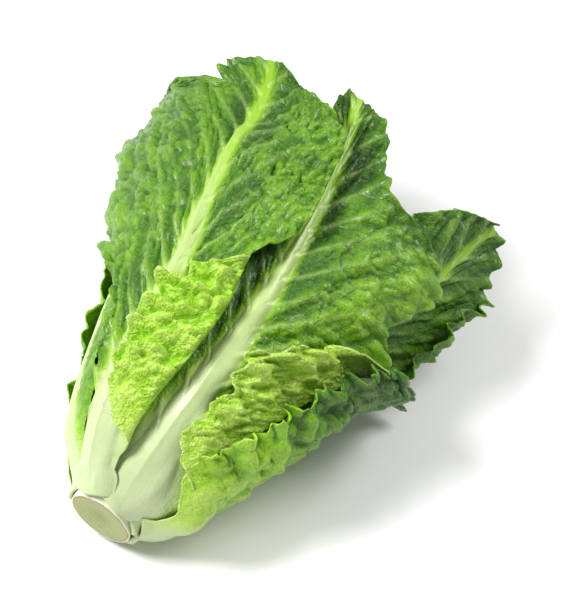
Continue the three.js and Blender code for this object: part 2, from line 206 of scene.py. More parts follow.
leaves += [
    {"name": "left_leaf", "turn": 84, "bend": -12, "base": 7, "tip": 228, "rise": 20,
     "fill": 0.88, "flare": 0.12, "frill": 6, "waves": 6, "ribHalf": 7, "ribThickness": 4,
     "left": edge(56), "right": edge(60),
     "columns": 70, "rows": 160, "blisters": 1.3, "teeth": 1.2, "green": 0.6, "grownAt": 0.2,
     "youngEdge": 0.6},
    {"name": "under_leaf", "turn": 184, "bend": 5, "base": 6, "tip": 240, "rise": 20,
     "fill": 0.84, "flare": 0.3, "frill": 4, "waves": 6, "ribHalf": 13, "ribThickness": 6.5,
     "left": edge(56), "right": edge(62),
     "columns": 60, "rows": 140, "blisters": 0.8, "teeth": 1, "green": 0.6},
    {"name": "right_leaf", "turn": 275, "bend": 3, "base": 7, "tip": 248, "rise": 20,
     "fill": 0.86, "flare": 0.18, "frill": 5, "waves": 7, "ribHalf": 12, "ribThickness": 6.2,
     "openRight": 0.9, "openFrom": 0.5, "openTo": 0.66,
     "left": [(0, 10), (0.1, 18), (0.25, 32), (0.42, 42), (0.64, 50), (0.78, 44), (0.87, 34), (0.93, 26),
              (0.97, 15), (1, 5)],
     "right": [(0, 9), (0.1, 16), (0.3, 24), (0.44, 29), (0.56, 32), (0.62, 37), (0.68, 38), (0.74, 38),
               (0.8, 35), (0.86, 27), (0.9, 20), (0.95, 16), (1, 6)],
     "fold": [(0.5, 25), (0.74, 20), (0.9, 18)], "foldFrom": 0.58, "foldTo": 0.88, "foldAngle": 160,
     "columns": 100, "rows": 230, "blisters": 1, "teeth": 0.4,
     "green": 0.7, "bloom": 0.15, "frillGreen": 0.66},
    {"name": "middle_leaf", "turn": 327, "bend": 31, "base": 4, "tip": 256, "rise": 18,
     "fill": 0.9, "flare": 0.12, "frill": 6, "waves": 7, "ribHalf": 14, "ribThickness": 6.8,
     "left": [(0, 10), (0.08, 17), (0.2, 24), (0.42, 39), (0.64, 52), (0.78, 40), (0.86, 26), (0.93, 15),
              (1, 6)],
     "right": [(0, 20), (0.03, 21), (0.05, 23), (0.11, 39), (0.17, 49), (0.235, 63), (0.3, 80), (0.357, 81),
               (0.41, 78), (0.445, 71), (0.485, 58), (0.525, 48), (0.58, 49), (0.645, 51), (0.7, 50),
               (0.737, 46), (0.755, 38), (0.77, 27), (0.786, 22), (0.84, 22), (0.905, 20), (0.96, 16),
               (1, 8)],
     "fold": [(0.05, 14), (0.09, 15), (0.126, 17), (0.17, 21), (0.26, 32), (0.357, 42), (0.405, 47),
              (0.482, 50)],
     "foldFrom": 0.045, "foldTo": 0.475, "foldAngle": 172,
     "pillow": [(0.6, -36, 0.11, 16, 5), (0.56, -9, 0.2, 5, -2)],
     # Patches of painted shade, and one of painted light on the outer right blade
     "paintedShadeAndLight": [(0.56, 13, 0.26, 9, 0.3), (0.62, -9, 0.16, 5, 0.16), (0.86, -12, 0.1, 8, 0.15),
              (0.6, -42, 0.12, 12, -0.12)],
     "columns": 160, "rows": 300, "blisters": 1.6, "teeth": 0.15,
     "green": 0.58, "frillGreen": 0.19, "darkTip": 0.16},
    {"name": "low_right_leaf", "turn": 231, "bend": 4, "base": 3.5, "tip": 152, "rise": 13,
     "fill": 1, "flare": 0.02, "frill": 7, "waves": 9, "ribHalf": 16, "ribThickness": 8,
     "left": [(0, 20), (0.06, 37), (0.1, 43), (0.17, 47), (0.34, 51), (0.53, 54), (0.7, 55), (0.82, 49),
              (0.91, 34), (1, 10)],
     "right": edge(34), "tuck": 11,
     "pillow": [(0.14, 22, 0.16, 15, 6), (0.42, 28, 0.22, 16, 9), (0.8, 29, 0.2, 17, 10)],
     "columns": 110, "rows": 220, "blisters": 3, "teeth": 2.4,
     "green": 0.8, "bloom": 0.3, "paintedHollowShade": 0.13, "grownAt": 0.95, "youngEdge": 0.9},
    {"name": "low_left_leaf", "turn": 134, "bend": -4, "base": 3.5, "tip": 214, "rise": 17,
     "fill": 0.94, "flare": 0.02, "frill": 6, "waves": 7, "ribHalf": 13, "ribThickness": 6.5,
     "left": edge(34),
     "right": [(0, 10), (0.07, 15), (0.15, 27), (0.3, 39), (0.42, 48), (0.64, 63), (0.8, 63), (0.91, 48),
               (0.97, 30), (1, 13)],
     "columns": 80, "rows": 180, "blisters": 1.3, "teeth": 1.6, "green": 0.56, "youngEdge": 0.6},
    {"name": "upper_left_leaf", "turn": 21, "bend": 22, "base": 3, "tip": 254, "rise": 17,
     "fill": 0.98, "flare": 0.14, "frill": 6, "waves": 7, "ribHalf": 14, "ribThickness": 6.8,
     "openLeft": 0.16, "openFrom": 0.45, "openTo": 0.7,
     "left": [(0, 10), (0.08, 11), (0.2, 15), (0.28, 20), (0.33, 29), (0.4, 51), (0.52, 70), (0.66, 84),
              (0.78, 87), (0.85, 79), (0.878, 56), (0.9, 23), (0.96, 20), (1, 9)],
     "right": [(0, 10), (0.045, 13), (0.075, 27), (0.12, 40), (0.18, 52), (0.28, 65), (0.345, 66), (0.4, 58),
               (0.425, 46), (0.445, 36), (0.465, 34), (0.5, 42), (0.55, 54), (0.67, 59), (0.77, 60),
               (0.85, 53), (0.9, 38), (0.96, 19), (1, 8)],
     "fold": [(0.04, 11), (0.08, 13), (0.14, 18), (0.21, 24), (0.29, 29), (0.36, 31), (0.43, 31), (0.5, 34)],
     "foldFrom": 0.04, "foldTo": 0.46, "foldAngle": 168,
     "pillow": [(0.7, -36, 0.13, 17, 3.5), (0.68, -10, 0.16, 7, -2), (0.66, 12, 0.16, 7, -2),
                (0.6, 36, 0.12, 14, 1.5)],
     # Patches of painted shade beside the upper midrib
     "paintedShadeAndLight": [(0.74, -12, 0.14, 6, 0.12), (0.78, 11, 0.12, 5, 0.1)],
     "columns": 160, "rows": 290, "blisters": 1.7, "teeth": 0.15, "green": 0.64, "frillGreen": 0.27},
]


def follow(points, u):
    return np.interp(u, [p[0] for p in points], [p[1] for p in points])


def refine(sheet):
    # Twice as many rows and turns, on a smooth surface through the given ones
    wrapped = np.concatenate([sheet[:, -1:], sheet, sheet[:, :2]], axis=1)
    between = (9 * (wrapped[:, 1:-2] + wrapped[:, 2:-1]) - wrapped[:, :-3] - wrapped[:, 3:]) / 16
    sheet = np.stack([sheet, between], axis=2).reshape(len(sheet), -1)
    padded = np.concatenate([sheet[:1], sheet, sheet[-1:], sheet[-1:]])
    between = (9 * (padded[1:-2] + padded[2:-1]) - padded[:-3] - padded[3:]) / 16
    return np.stack([sheet, between], axis=1).reshape(-1, sheet.shape[1])


def readSheet(sheet, x, turn):
    # A sheet holds a radius for each row along the head and each column round it
    finer = sheet.shape[1] // turnCells
    row = np.clip(x / headForm["stepX"], 0, headForm["rows"] - 1.001) * finer
    column = turn / math.radians(headForm["stepTurn"]) * finer
    r = np.floor(row).astype(int)
    c = np.floor(column).astype(int)
    around = sheet.shape[1]
    low = mix(sheet[r, c % around], sheet[r, (c + 1) % around], column - c)
    high = mix(sheet[r + 1, c % around], sheet[r + 1, (c + 1) % around], column - c)
    return mix(low, high, row - r)


def layOver(leaf, reached):
    # The sheet that the leaf is cut from: its own shape, pushed out where the leaves inside it need room
    x = np.arange(headForm["rows"])[:, None] * headForm["stepX"]
    turn = np.radians(np.arange(turnCells) * headForm["stepTurn"])[None, :]
    beyond = np.maximum(0, (x - headForm["flareFrom"]) / headForm["flareReach"])
    openRadius = leaf["fill"] * headRadius(x, turn) * (1 + leaf["flare"] * beyond ** 2)
    start = stemRadius(leaf["base"]) + headForm["stemGap"]
    free = mix(start, openRadius, smooth(x, leaf["base"], leaf["base"] + leaf["rise"]))
    padded = np.pad(reached, ((1, 1), (0, 0)), mode="edge")
    inside = np.maximum(np.maximum(padded[:-2], padded[1:-1]), padded[2:])
    inside = np.maximum(inside, np.maximum(np.roll(inside, 1, axis=1), np.roll(inside, -1, axis=1)))
    least = np.maximum(free, inside + leaf.get("gap", headForm["leafGap"]))
    sheet = least.copy()
    for _ in range(headForm["easings"]):
        beside = np.roll(sheet, 1, axis=1) + np.roll(sheet, -1, axis=1)
        eased = sheet.copy()
        eased[1:-1] = np.maximum(least[1:-1], (sheet[:-2] + sheet[2:] + beside[1:-1]) / 4)
        sheet = eased
    return refine(refine(sheet))


# Half the width of a midrib along the leaf, compared with its full half
ribWidths = [(0, 1.05), (0.06, 0.82), (0.1, 0.7), (0.23, 0.56), (0.38, 0.37), (0.5, 0.26), (0.6, 0.18),
             (0.75, 0.12), (0.9, 0.07), (1, 0.04)]


def ribHalfAt(leaf, u):
    return np.minimum(leaf["ribHalf"] * follow(ribWidths, u), 0.95 * bladeHalf(leaf, 1, u))


def bladeHalf(leaf, side, u):
    # The base clasps the stem, so it is a little wider than the solid's
    half = np.where(side < 0, follow(leaf["right"], u), follow(leaf["left"], u))
    return np.maximum(half, leaf["ribHalf"] * (1 - smooth(u, 0.01, 0.07)))


# Relief of a leaf: what the solids leave out

relief = {
    "veinSpacing": 18,       # between two side veins, along the midrib
    "veinLead": 0.9,         # how steeply a side vein leaves the midrib, forwards
    "veinArc": 80,           # the less, the more it bends forwards on its way out
    "veinWidth": 0.9,
    "veinHeight": 0.8,
    "puckerSize": 3.4,       # width of the narrow folds that leave the midrib beside the side veins
    "puckerHeight": 2,
    "puckerReach": 24,
    "valley": 2,             # depth of the blade between two side veins, beside the midrib
    "undulation": 2.8,       # long folds that run with the side veins
    "puffs": [(10, 0.6), (5.2, 0.9), (2.9, 0.55)],    # size and height of the blade's blisters
    "frillPuffs": 1.9,       # blisters on a curled edge, compared with the blade
    "crumpleSize": 8,        # creased folds of a curled edge
    "crumpleHeight": 1.8,
    "deepest": 2.6,          # no hollow goes deeper than this into what lies below
    "netSize": 4.6,          # meshes of the finest veins
    "edgeWave": 12,          # length of the small waves along an edge
    "edgeWaveHeight": 1.5,
    "longWave": 0.36,        # share of a leaf's frill in its long and its short waves
    "shortWave": 0.14,
    "lobeLength": 14,        # lobes and teeth along an edge
    "toothLength": 4.7,
    "cuts": [(1.6, 0.9, 1.4), (3.6, 1.2, 2.6)],       # lobes, teeth and set-back of a plain and a folded edge
    "curl": (2, 9),          # a folded edge looks curled between these distances from its fold
    "tuck": 2.5,             # the lower edges of a blade press down by this
    "keel": 0.5,             # ridge along the middle of a midrib
    "keelWidth": 0.14,       # compared with half the midrib
    "graft": 15,             # length over which a leaf's base grows together with the stem
    "graftProud": 0.3,       # how far the bases stand out from the stem's skin
    "graftUneven": 0.9,
}


def leafSurface(leaf, sheet, u, s, covered=None):
    # The leaf at u (0 at the base, 1 at the tip) and s (-1 right edge, 0 midrib, 1 left edge).
    # Without covered it is the plain blade, with no relief, no cut edge and no graft.
    length = leaf["tip"] - leaf["base"]
    ribX = leaf["base"] + length * u
    midrib = np.radians(leaf["turn"] + leaf["bend"] * np.maximum(u, 0) ** 3)
    side = np.where(s < 0, -1, 1)
    half = bladeHalf(leaf, side, u)
    mmAlong = length * u
    seed = int(leaf["turn"]) + 3 * len(leaf["name"])
    if "fold" in leaf:
        started = smooth(u, leaf["foldFrom"] - 0.03, leaf["foldFrom"] + 0.05)
        ended = smooth(u, leaf["foldTo"] - 0.05, leaf["foldTo"] + 0.03)
        fold = np.where(s < 0, math.radians(leaf["foldAngle"]) * started * (1 - ended), 0)
        flat = np.where(fold > 0, follow(leaf["fold"], u), half)
    else:
        fold = np.zeros_like(u)
        flat = half
    folded = fold / math.radians(leaf.get("foldAngle", 90))
    if covered is not None:
        lobeDrift = 1.4 * swells(mmAlong, side * 9.0, 21, seed)
        toothDrift = 0.6 * swells(mmAlong, side * 5.0, 9, seed)
        lobe = np.abs(np.sin(math.pi * mmAlong / relief["lobeLength"] + lobeDrift))
        tooth = np.abs((mmAlong / relief["toothLength"] + toothDrift) % 1 - 0.6) / 0.6
        plainCut, foldedCut = (lobes * lobe + teeth * tooth - back for lobes, teeth, back in relief["cuts"])
        cut = mix(leaf["teeth"] * plainCut, foldedCut, folded)
        half = half + cut * smooth(np.abs(s), 0.82, 1) * smooth(u, 0.06, 0.18)
    along = np.abs(s) * half
    arc = headForm["foldRadius"] * fold
    beyond = np.maximum(0, along - flat)
    turned = np.minimum(beyond, arc) / headForm["foldRadius"]
    rest = np.maximum(0, beyond - arc)
    bent = headForm["foldRadius"] * np.sin(turned) + rest * np.cos(fold)
    across = np.where(beyond > 0, flat + bent, along)
    up = headForm["foldRadius"] * (1 - np.cos(turned)) + rest * np.sin(fold)
    curled = smooth(beyond, *relief["curl"]) * folded

    nearEdge = np.abs(s) ** 2.2 * smooth(u, 0.03, 0.2)
    phase = leaf["turn"] + 2 * side
    longWaves = relief["longWave"] * np.sin(2 * math.pi * leaf["waves"] * u + phase)
    shortWaves = relief["shortWave"] * np.sin(15.3 * leaf["waves"] * u * u + phase)
    lift = leaf["frill"] * nearEdge * (0.5 + longWaves + shortWaves)
    look = {}
    if covered is not None:
        detail, look = bladeRelief(leaf, u, side, s, along, mmAlong, curled, seed)
        lowEdge = smooth(np.abs(s), 0.5, 1) * (1 - smooth(u, 0.1, 0.36)) * (1 - folded)
        lift = lift + detail * (1 - 0.8 * covered) - leaf.get("tuck", relief["tuck"]) * lowEdge

    x = ribX + headForm["sweep"] * (1 - np.maximum(u, 0) ** 6) * across
    turn = midrib + side * across / readSheet(sheet, ribX, midrib)
    steepness = np.where(s < 0, leaf.get("openRight", 0), leaf.get("openLeft", 0))
    opening = smooth(u, leaf.get("openFrom", 0), leaf.get("openTo", 1))
    opened = steepness * across * np.minimum(1, across / headForm["openReach"]) * opening
    radius = readSheet(sheet, x, turn) + up + opened + lift
    if covered is not None and "slot" not in leaf:
        proud = relief["graftProud"] + relief["graftUneven"] * math.sin(leaf["turn"]) ** 2
        grafted = stemSkin(np.clip(x, 0, headForm["stemLength"] - 10)) + proud
        radius = mix(grafted, radius, smooth(x, 0, relief["graft"]))
    return {"x": x, "turn": turn, "radius": radius, "fromRib": along, "curled": curled, **look}


def bladeRelief(leaf, u, side, s, along, mmAlong, curled, seed):
    # Height of the relief over the plain blade, and the masks that the finish uses
    ribHalf = ribHalfAt(leaf, u)
    offRib = smooth(along, 0.7 * ribHalf, ribHalf + 4)
    outward = np.abs(s)
    across = side * along
    grown = smooth(u, 0.03, 0.2)
    lead = relief["veinLead"] * along + along ** 2 / relief["veinArc"]
    wander = 0.22 * swells(across, mmAlong, 30, seed + 2)
    vein = (mmAlong - lead) / relief["veinSpacing"] + 0.45 * (side > 0) + wander
    steep = np.sqrt(1 + (relief["veinLead"] + 2 * along / relief["veinArc"]) ** 2)
    fromVein = np.abs(vein - np.round(vein)) * relief["veinSpacing"] / steep
    width = relief["veinWidth"] * mix(1.2, 0.5, outward)
    sideVein = np.exp(-(fromVein / width) ** 2) * np.exp(-np.maximum(0, along - ribHalf) / 32)
    sideVein = sideVein * smooth(along, 0.5 * ribHalf, ribHalf)
    between = np.sin(math.pi * vein) ** 2
    beside = np.exp(-np.maximum(0, along - ribHalf) / relief["puckerReach"])
    acrossFolds = vein * relief["veinSpacing"] / steep
    narrow = swells(acrossFolds, along / 7, relief["puckerSize"], seed + 3)
    puckers = relief["puckerHeight"] * mix(0.25, 1, beside) * narrow - relief["valley"] * beside * between
    longFolds = relief["undulation"] * (swells(across / 3 + 50, acrossFolds, 9, seed + 4) - 0.25)
    longFolds = (longFolds * smooth(along, 8, 26) + 0.9 * between * (1 - beside)) * (1 - 0.7 * curled)
    bumps = 0
    for k, (size, height) in enumerate(relief["puffs"]):
        bumps = bumps + height * puffs(across, mmAlong, size, seed + 20 + k)
    bumps = bumps * leaf["blisters"] * mix(mix(0.3, 1, 1 - beside), relief["frillPuffs"], curled)
    creased = relief["crumpleHeight"] * curled * swells(across, mmAlong, relief["crumpleSize"], seed + 5)
    crumple = creased + 1.2 * curled
    rippleHeight = relief["edgeWaveHeight"] * (1 + 1.2 * curled) * outward ** 5
    rippleDrift = 2 * swells(mmAlong, side * 7.0, 17, seed + 6)
    ripple = np.sin(2 * math.pi * mmAlong / relief["edgeWave"] + rippleDrift)
    pillow = sum(height * np.exp(-((u - atU) / spanU) ** 2 - ((across - atAcross) / spanAcross) ** 2)
                 for atU, atAcross, spanU, spanAcross, height in leaf.get("pillow", []))
    fine = (puckers * (1 - curled) + bumps) * offRib * grown
    detail = fine + (longFolds * offRib + crumple + rippleHeight * (0.6 + ripple)) * grown
    detail = detail + relief["veinHeight"] * sideVein * (1 - curled) * grown + pillow
    wall = cellWalls(across, mmAlong, relief["netSize"], seed)
    return np.maximum(detail, -relief["deepest"]), {
        "veins": np.maximum(sideVein, 0.14 * wall * offRib * grown) * (1 - 0.8 * curled), "fine": fine,
        "patches": swells(across, mmAlong, 16, seed + 7),
    }


def ribRise(leaf, u, fromRib):
    # Thickness of the midrib over the blade's own
    half = ribHalfAt(leaf, u)
    high = np.maximum(u, 0)
    crown = mix(leaf["ribThickness"], 0.3, high ** 0.6) * mix(0.35, 1, smooth(u, 0, 0.1))
    rounded = np.maximum(0, 1 - (fromRib / half) ** 2)
    ridge = np.exp(-(fromRib / (relief["keelWidth"] * half)) ** 2)
    return crown * rounded + relief["keel"] * mix(1, 0.2, high) * ridge * smooth(u, 0.02, 0.12)


reachSamples = (151, 181)     # along a leaf and across it


def recordReach(leaf, sheet, reached):
    # Writes how far out the leaf comes into reached, and gives the cells that it covers
    u, s = np.meshgrid(np.linspace(0, 1, reachSamples[0]), np.linspace(-1, 1, reachSamples[1]), indexing="ij")
    place = leafSurface(leaf, sheet, u, s)
    outer = place["radius"] + headForm["bladeThickness"] + ribRise(leaf, u, place["fromRib"])
    row = np.clip(np.rint(place["x"] / headForm["stepX"]).astype(int), 0, headForm["rows"] - 1)
    column = np.rint(place["turn"] / math.radians(headForm["stepTurn"])).astype(int) % turnCells
    np.maximum.at(reached, (row, column), outer)
    footprint = np.zeros(reached.shape)
    footprint[row, column] = 1
    return footprint


# Finishes

def addNode(tree, kind, settings=None, links=None):
    # Settings are inputs by name or number, a colour ramp's stops, or the node's own properties
    node = tree.nodes.new(kind)
    for key, value in (settings or {}).items():
        if isinstance(key, int) or key in node.inputs:
            node.inputs[key].default_value = value
        elif key == "stops":
            elements = node.color_ramp.elements
            elements[0].color = linearColour(value[0][1])
            elements[1].color = linearColour(value[-1][1])
            for position, colour in value[1:-1]:
                elements.new(position).color = linearColour(colour)
        else:
            setattr(node, key, value)
    for socket, source in (links or {}).items():
        tree.links.new(source, node.inputs[socket])
    return node


def startMaterial(name):
    material = bpy.data.materials.new(name)
    material.use_nodes = True
    return material, material.node_tree, material.node_tree.nodes["Principled BSDF"]


def setInputs(shader, values):
    for socket, value in values.items():
        shader.inputs[socket].default_value = value


leafFinish = {
    # Tones from the white flesh of the midrib to the deep green of a full-grown blade
    "tones": [(0.0, "#ced9b0"), (0.14, "#bad085"), (0.3, "#9bc440"), (0.46, "#7eae1e"), (0.62, "#629512"),
              (0.8, "#3f710e"), (1.0, "#224906")],
    "frillTones": [(0.0, "#d3ee84"), (0.2, "#bde64e"), (0.42, "#98d11c"), (0.65, "#66a30c"),
                   (1.0, "#2c6008")],
    "vein": "#bdd482",
    "bloom": "#4c7a34",
    "veinShare": 0.38,
    "outerRoughness": 0.31,
    "innerRoughness": 0.3,
    "speckleMm": 4.167,      # uneven tone and gloss
    "speckleTone": 0.14,
    "speckleGloss": 0.16,
    "wrinkleMm": 2.6,        # fine wrinkles between the modelled blisters
    "wrinkleDepthMm": 2.8,
    "paintedWrinkleShade": 0.62,      # painted shade: how much darker their creases are
    "netMm": 1.613,          # finest net of veins
    "netRelief": 2.2,
    "grainMm": 0.6,          # a leaf's cells are finer: this is as coarse as the render needs
    "grainDepthMm": 0.3,
    "glow": 0.08,
    "glowMm": 1.5,
    "glowReach": (0.6, 1.0, 0.25),
    "wetCoat": 0.24,
    "coatRoughness": 0.16,
}


def leafMaterial(name, roughness):
    # Waxy cuticle over moist green tissue: soft broad highlights, and a little light glows through the blade
    look = leafFinish
    material, tree, shader = startMaterial(name)
    place = addNode(tree, "ShaderNodeTexCoord").outputs["Object"]
    masks = {}
    for mask in ("tone", "veins", "frill", "bloom", "crinkle"):
        masks[mask] = addNode(tree, "ShaderNodeAttribute", {"attribute_name": mask}).outputs["Fac"]
    speckle = addNode(tree, "ShaderNodeTexNoise",
                      {"Scale": 1 / (look["speckleMm"] * mm), "Detail": 4, "Roughness": 0.6},
                      {"Vector": place})
    wrinkle = addNode(tree, "ShaderNodeTexNoise",
                      {"Scale": 1 / (look["wrinkleMm"] * mm), "Detail": 4, "Distortion": 1.2},
                      {"Vector": place})
    centred = addNode(tree, "ShaderNodeMath", {"operation": "SUBTRACT", 1: 0.5}, {0: wrinkle.outputs["Fac"]})
    wrinkled = addNode(tree, "ShaderNodeMath", {"operation": "MULTIPLY"},
                       {0: centred.outputs[0], 1: masks["crinkle"]})

    shade = addNode(tree, "ShaderNodeMath", {"operation": "MULTIPLY_ADD", 1: look["speckleTone"]},
                    {0: speckle.outputs["Fac"], 2: masks["tone"]})
    # Painted shade: the creases of the fine wrinkles are darker green
    creased = addNode(tree, "ShaderNodeMath", {"operation": "MULTIPLY_ADD", 1: -look["paintedWrinkleShade"]},
                      {0: wrinkled.outputs[0], 2: shade.outputs[0]})
    level = addNode(tree, "ShaderNodeMath",
                    {"operation": "SUBTRACT", "use_clamp": True, 1: look["speckleTone"] / 2},
                    {0: creased.outputs[0]})
    blade = addNode(tree, "ShaderNodeValToRGB", {"stops": look["tones"]}, {"Fac": level.outputs[0]})
    frilled = addNode(tree, "ShaderNodeValToRGB", {"stops": look["frillTones"]}, {"Fac": level.outputs[0]})
    green = addNode(tree, "ShaderNodeMix", {"data_type": "RGBA"},
                    {0: masks["frill"], 6: blade.outputs["Color"], 7: frilled.outputs["Color"]})
    waxy = addNode(tree, "ShaderNodeMix", {"data_type": "RGBA", 7: linearColour(look["bloom"])},
                   {0: masks["bloom"], 6: green.outputs[2]})
    veinShare = addNode(tree, "ShaderNodeMath", {"operation": "MULTIPLY", 1: look["veinShare"]},
                        {0: masks["veins"]})
    veined = addNode(tree, "ShaderNodeMix", {"data_type": "RGBA", 7: linearColour(look["vein"])},
                     {0: veinShare.outputs[0], 6: waxy.outputs[2]})
    tree.links.new(veined.outputs[2], shader.inputs["Base Color"])

    grain = addNode(tree, "ShaderNodeTexNoise", {"Scale": 1 / (look["grainMm"] * mm), "Detail": 2},
                    {"Vector": place})
    net = addNode(tree, "ShaderNodeTexVoronoi",
                  {"Scale": 1 / (look["netMm"] * mm), "feature": "DISTANCE_TO_EDGE"}, {"Vector": place})
    netEdge = addNode(tree, "ShaderNodeMath", {"operation": "MINIMUM", 1: 0.25}, {0: net.outputs["Distance"]})
    height = addNode(tree, "ShaderNodeMath", {"operation": "MULTIPLY_ADD", 1: look["netRelief"]},
                     {0: netEdge.outputs[0], 2: grain.outputs["Fac"]})
    fine = addNode(tree, "ShaderNodeBump", {"Strength": 0.35, "Distance": look["grainDepthMm"] * mm},
                   {"Height": height.outputs[0]})
    bump = addNode(tree, "ShaderNodeBump", {"Strength": 0.95, "Distance": look["wrinkleDepthMm"] * mm},
                   {"Height": wrinkled.outputs[0], "Normal": fine.outputs["Normal"]})
    tree.links.new(bump.outputs["Normal"], shader.inputs["Normal"])
    smoothest = roughness - look["speckleGloss"] / 2
    gloss = addNode(tree, "ShaderNodeMath",
                    {"operation": "MULTIPLY_ADD", 1: look["speckleGloss"], 2: smoothest},
                    {0: speckle.outputs["Fac"]})
    tree.links.new(gloss.outputs[0], shader.inputs["Roughness"])
    setInputs(shader, {
        "Subsurface Weight": look["glow"], "Subsurface Radius": look["glowReach"],
        "Subsurface Scale": look["glowMm"] * mm, "IOR": 1.4,
        "Coat Weight": look["wetCoat"], "Coat Roughness": look["coatRoughness"],
    })
    return material


outerFace = leafMaterial("waxyLeafOutside", leafFinish["outerRoughness"])
innerFace = leafMaterial("glossyLeafInside", leafFinish["innerRoughness"])


# Building a leaf

def meshPoints(mesh):
    points = np.zeros(len(mesh.vertices) * 3)
    mesh.vertices.foreach_get("co", points)
    return points.reshape(-1, 3)


def addSheet(name, columns, rows):
    # A flat grid from -1 to 1 both ways, to be shaped into a leaf or the stem
    bpy.ops.mesh.primitive_grid_add(x_subdivisions=columns, y_subdivisions=rows, size=2)
    piece = bpy.context.active_object
    piece.name = name
    return piece, meshPoints(piece.data)


def setAttribute(mesh, name, values):
    layer = mesh.attributes.new(name, "FLOAT", "POINT")
    layer.data.foreach_set("value", np.clip(values, 0, 1).astype(np.float32))


# Tone of a midrib along the leaf, compared with the green of its blade
ribTones = [(0, 0.08), (0.1, 0.1), (0.3, 0.19), (0.5, 0.27), (0.75, 0.42), (1, 0.62)]
leafTone = {                 # a leaf may have its own in place of the first four
    "paintedHollowShade": 0.11,         # painted shade: darker in the hollows between blisters
    "grownAt": 0.34,         # from here towards the tip a blade is fully green
    "darkTip": 0.04,
    "youngEdge": 0.3,        # yellow-green of the lower edges
    "youngBlade": 0.25,      # share of its green that a blade has at the base
    "patches": 0.05,
    "grooves": 0.018,        # fine lines along a midrib
    # painted highlight: a paler line along the edge
    "paintedRimHighlight": 0.15,
}


def paintLeaf(leaf, mesh, u, s, place):
    # Attributes for the finish: tone from pale to deep, with painted shade in hollows and shadowed patches
    # and a painted highlight along the edge, and where the veins, frill, bloom and wrinkles are
    own = {**leafTone, **leaf}
    ribHalf = ribHalfAt(leaf, u)
    fromRib = place["fromRib"]
    away = smooth(fromRib, 0.75 * ribHalf, ribHalf + mix(13, 5, smooth(u, 0, 0.3)))
    grown = smooth(u + fromRib / 250, -0.02, own["grownAt"])
    # Random patches of tone, and painted shade that darkens the hollows of the relief
    uneven = own["patches"] * place["patches"] - own["paintedHollowShade"] * np.clip(place["fine"], -1.4, 0.5)
    # Painted shade: patches of deeper green where the leaf lies in another leaf's shadow, and painted light
    # where the amount is below zero
    for atU, atAcross, spanU, spanAcross, amount in own.get("paintedShadeAndLight", []):
        nearby = np.exp(-((u - atU) / spanU) ** 2 - ((np.sign(s) * fromRib - atAcross) / spanAcross) ** 2)
        uneven = uneven + amount * nearby
    blade = own["green"] * mix(own["youngBlade"], 1, grown) + own["darkTip"] * smooth(u, 0.6, 0.8)
    rib = follow(ribTones, u) * own["green"]
    lines = np.sin(4.2 * fromRib + 2 * swells(fromRib, 60 * u, 9, 3))
    grooves = own["grooves"] * lines * (1 - smooth(u, 0.3, 0.6))
    plainTone = mix(rib + grooves, blade + uneven, away)
    frillTone = own.get("frillGreen", own["green"]) * mix(0.62, 1.15, smooth(u, 0.03, 0.5))
    tone = mix(plainTone, np.maximum(0.17, frillTone + 1.2 * uneven), place["curled"])
    # Painted highlight: a thin paler line along the blade's edge
    rim = smooth(np.abs(s), 0.975, 1)
    setAttribute(mesh, "tone", np.maximum(0.02, tone - own["paintedRimHighlight"] * rim * away))
    setAttribute(mesh, "veins", place["veins"])
    setAttribute(mesh, "crinkle", away * mix(0.6, 1, place["curled"]))
    youngEdge = own["youngEdge"] * smooth(np.abs(s), 0.35, 0.9) * (1 - smooth(u, 0.3, 0.7)) * away
    setAttribute(mesh, "frill", np.maximum(place["curled"], youngEdge))
    bloomed = np.maximum(place["curled"], 0.7 * smooth(u, 0.45, 0.95) * away)
    setAttribute(mesh, "bloom", own.get("bloom", 0) * bloomed)


def buildLeaf(leaf, sheet, cover):
    # Cover is 1 where another leaf lies over this one: the relief is held down there
    piece, flat = addSheet(leaf["name"].replace("_", "-") + "-blade", leaf["columns"], leaf["rows"])
    mesh = piece.data
    s = np.sign(flat[:, 0]) * np.abs(flat[:, 0]) ** 1.1
    start = -(leaf["base"] - rimBevel) / (leaf["tip"] - leaf["base"]) if "slot" not in leaf else 0
    u = mix(start, 1, np.clip((flat[:, 1] + 1) / 2, 0, 1))
    plain = leafSurface(leaf, sheet, u, s)
    covered = np.clip(readSheet(cover, plain["x"], plain["turn"]), 0, 1)
    place = leafSurface(leaf, sheet, u, s, covered)
    points = placeInHead(place["x"], place["turn"], place["radius"])
    points[:, 2] = np.maximum(points[:, 2], headForm["bladeThickness"])
    mesh.vertices.foreach_set("co", (points * mm).ravel())
    paintLeaf(leaf, mesh, u, s, place)

    # The sheet is a leaf's inner skin, and Solidify adds the outer one at the thickness of blade and midrib
    thickest = headForm["bladeThickness"] + leaf["ribThickness"] + relief["keel"]
    thickness = (headForm["bladeThickness"] + ribRise(leaf, u, place["fromRib"])) / thickest
    group = piece.vertex_groups.new(name="thickness")
    levels = np.round(thickness, 3)
    for level in np.unique(levels):
        group.add([int(i) for i in np.nonzero(levels == level)[0]], float(level), "REPLACE")
    shell = piece.modifiers.new("blade", "SOLIDIFY")
    shell.thickness = thickest * mm
    shell.offset = -1
    shell.vertex_group = "thickness"
    shell.material_offset = 1
    shell.material_offset_rim = 0
    mesh.materials.append(innerFace)
    mesh.materials.append(outerFace)
    bpy.ops.object.modifier_apply(modifier=shell.name)
    points = meshPoints(piece.data)
    points[:, 2] = np.maximum(points[:, 2], 0)
    piece.data.vertices.foreach_set("co", points.ravel())
    bpy.ops.object.shade_smooth()
    bpy.ops.object.select_all(action="DESELECT")
    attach(piece, "root")
    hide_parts(leaf["name"])


